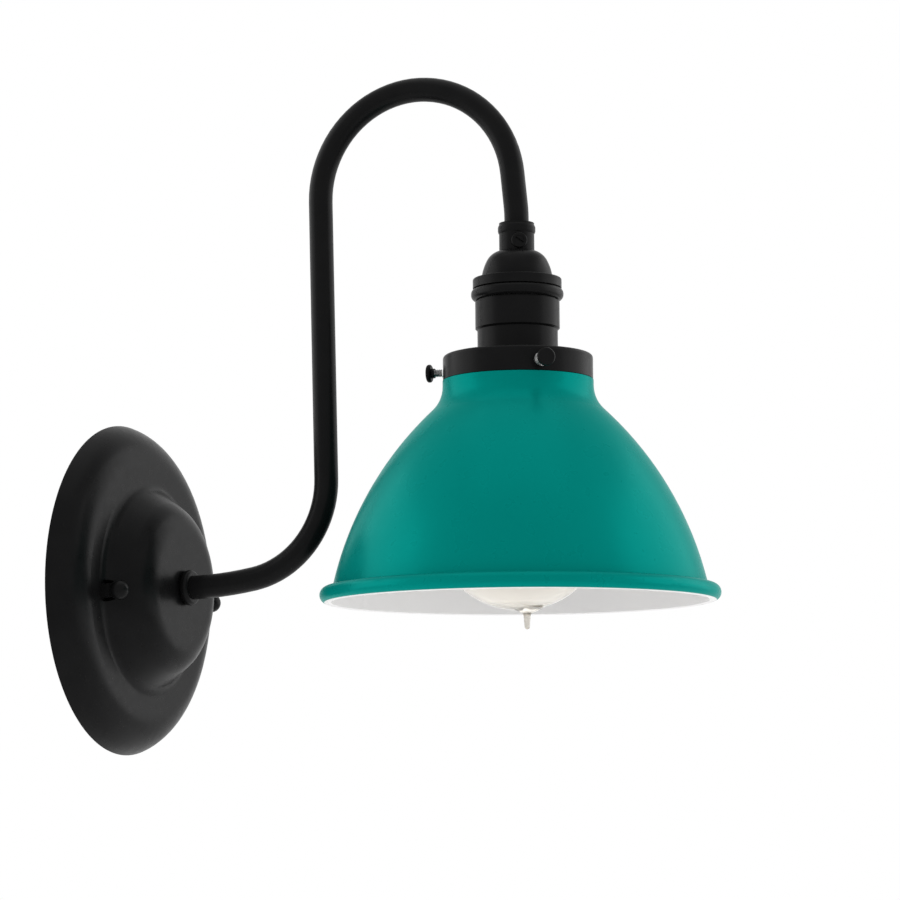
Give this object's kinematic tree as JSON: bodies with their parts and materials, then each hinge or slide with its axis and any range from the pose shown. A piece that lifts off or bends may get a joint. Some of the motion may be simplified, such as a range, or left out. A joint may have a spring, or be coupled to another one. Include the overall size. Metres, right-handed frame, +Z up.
{
  "type": "gooseneck wall sconce",
  "caption": "Wall light with a round canopy, a gooseneck arm, a stepped socket and a domed metal shade held by thumbscrews, with a bulb that screws in.",
  "frame": {"origin": "middle of the mounting bar between its two box slots, on the wall plane", "axes": "+Y into the wall, +Z up, the room is at -Y and the arm lies in the plane X = 0"},
  "size_m": [0.1662, 0.2668, 0.2871],
  "materials": {
    "black_paint": "satin black",
    "black_screws": "satin black",
    "plated_shanks": "plated",
    "zinc": "zinc plated",
    "green_screw": "green",
    "tinned": "tin plated",
    "bare_copper": "bare copper",
    "bushing_plastic": "satin",
    "hot_insulation": "satin black",
    "neutral_insulation": "satin white",
    "connector_plastic": "satin orange",
    "fibre": "pressed fibre",
    "moulded_body": "moulded, dark brown",
    "brass": "plain",
    "shade_enamel": "gloss teal outside, gloss white inside",
    "bulb_glass": "clear",
    "base_brass": "plain",
    "base_insulation": "black",
    "solder": "dull",
    "carbon": "carbon",
    "fine_wire": "bare"
  },
  "bodies": {
    "fixture": {"canopy": "black_paint", "arm": "black_paint", "arm_collar": "black_paint", "socket_cap": "black_paint", "bead_ring": "black_paint", "socket_shell": "black_paint", "shade_holder": "black_paint", "ring_nut": "black_paint", "screw_bushings": "plated_shanks", "mounting_bar": "zinc", "canopy_studs": "zinc", "jam_nuts": "zinc", "lock_nut": "zinc", "lock_washer": "zinc", "ground_screw": "green_screw", "ring_terminal": "tinned", "neutral_terminal": "tinned", "neutral_terminal_screw": "tinned", "ground_lead": "bare_copper", "wire_bushing": "bushing_plastic", "hot_lead": "hot_insulation", "neutral_lead": "neutral_insulation", "wire_connectors": "connector_plastic", "cap_liner": "fibre", "shell_sleeve": "fibre", "socket_body": "moulded_body", "screw_shell": "brass", "shell_rivets": "brass", "contact_root": "brass", "contact_rivet": "brass", "hot_terminal": "brass", "hot_terminal_screw": "brass", "shade": "shade_enamel"},
    "left_ball_nut": {"ball_nut_left": "black_paint"},
    "right_ball_nut": {"ball_nut_right": "black_paint"},
    "neck_set_screw": {"set_screw": "black_screws"},
    "contact_tongue": {"centre_contact": "brass"},
    "thumb_shank_1": {"thumbscrew_shank_1": "plated_shanks"},
    "thumb_head_1": {"thumbscrew_head_1": "black_screws"},
    "thumb_shank_2": {"thumbscrew_shank_2": "plated_shanks"},
    "thumb_head_2": {"thumbscrew_head_2": "black_screws"},
    "thumb_shank_3": {"thumbscrew_shank_3": "plated_shanks"},
    "thumb_head_3": {"thumbscrew_head_3": "black_screws"},
    "bulb_foot": {"bulb_foot_contact": "solder"},
    "bulb": {"bulb_insulator": "base_insulation", "bulb_base_shell": "base_brass", "bulb_glass": "bulb_glass", "bulb_stem": "bulb_glass", "filament": "carbon", "filament_supports": "fine_wire", "filament_feed_wires": "fine_wire"}
  },
  "joints": [
    {"name": "left_ball_nut_travel", "type": "slide", "parent": "fixture", "child": "left_ball_nut", "axis": [0, -1, 0], "range_m": [0, 0.01]},
    {"name": "right_ball_nut_travel", "type": "slide", "parent": "fixture", "child": "right_ball_nut", "axis": [0, -1, 0], "range_m": [0, 0.01]},
    {"name": "set_screw_travel", "type": "slide", "parent": "fixture", "child": "neck_set_screw", "axis": [-0.8829, -0.4695, 0], "range_m": [0, 0.003]},
    {"name": "thumbscrew_1_travel", "type": "slide", "parent": "fixture", "child": "thumb_shank_1", "axis": [-0.1392, 0.9903, 0], "range_m": [0, 0.00476]},
    {"name": "thumbscrew_1_turn", "type": "hinge", "parent": "thumb_shank_1", "child": "thumb_head_1", "pos_m": [-0.00546, -0.14486, 0.08952], "axis": [-0.1392, 0.9903, 0], "range_deg": [0, 2165]},
    {"name": "thumbscrew_2_travel", "type": "slide", "parent": "fixture", "child": "thumb_shank_2", "axis": [-0.788, -0.6157, 0], "range_m": [0, 0.00476]},
    {"name": "thumbscrew_2_turn", "type": "hinge", "parent": "thumb_shank_2", "child": "thumb_head_2", "pos_m": [-0.03089, -0.20781, 0.08952], "axis": [-0.788, -0.6157, 0], "range_deg": [0, 2165]},
    {"name": "thumbscrew_3_travel", "type": "slide", "parent": "fixture", "child": "thumb_shank_3", "axis": [0.9272, -0.3746, 0], "range_m": [0, 0.00476]},
    {"name": "thumbscrew_3_turn", "type": "hinge", "parent": "thumb_shank_3", "child": "thumb_head_3", "pos_m": [0.03635, -0.19837, 0.08952], "axis": [0.9272, -0.3746, 0], "range_deg": [0, 2165]},
    {"name": "bulb_travel", "type": "slide", "parent": "fixture", "child": "bulb_foot", "axis": [0, 0, -1], "range_m": [0, 0.01814]},
    {"name": "bulb_turn", "type": "hinge", "parent": "bulb_foot", "child": "bulb", "pos_m": [0, -0.18368, 0], "axis": [0, 0, -1], "range_deg": [0, 1805]},
    {"name": "contact_flex", "type": "hinge", "parent": "fixture", "child": "contact_tongue", "pos_m": [-0.0066, -0.18368, 0.11167], "axis": [0, -1, 0], "range_deg": [0, 4], "stiffness_Nm_per_rad": 0.05}
  ],
  "couplings": [
    {"joint": "thumbscrew_1_turn", "follows": "thumbscrew_1_travel", "rad_per_m": 7915.8},
    {"joint": "thumbscrew_2_turn", "follows": "thumbscrew_2_travel", "rad_per_m": 7915.8},
    {"joint": "thumbscrew_3_turn", "follows": "thumbscrew_3_travel", "rad_per_m": 7915.8},
    {"joint": "bulb_turn", "follows": "bulb_travel", "rad_per_m": 1731.6}
  ]
}
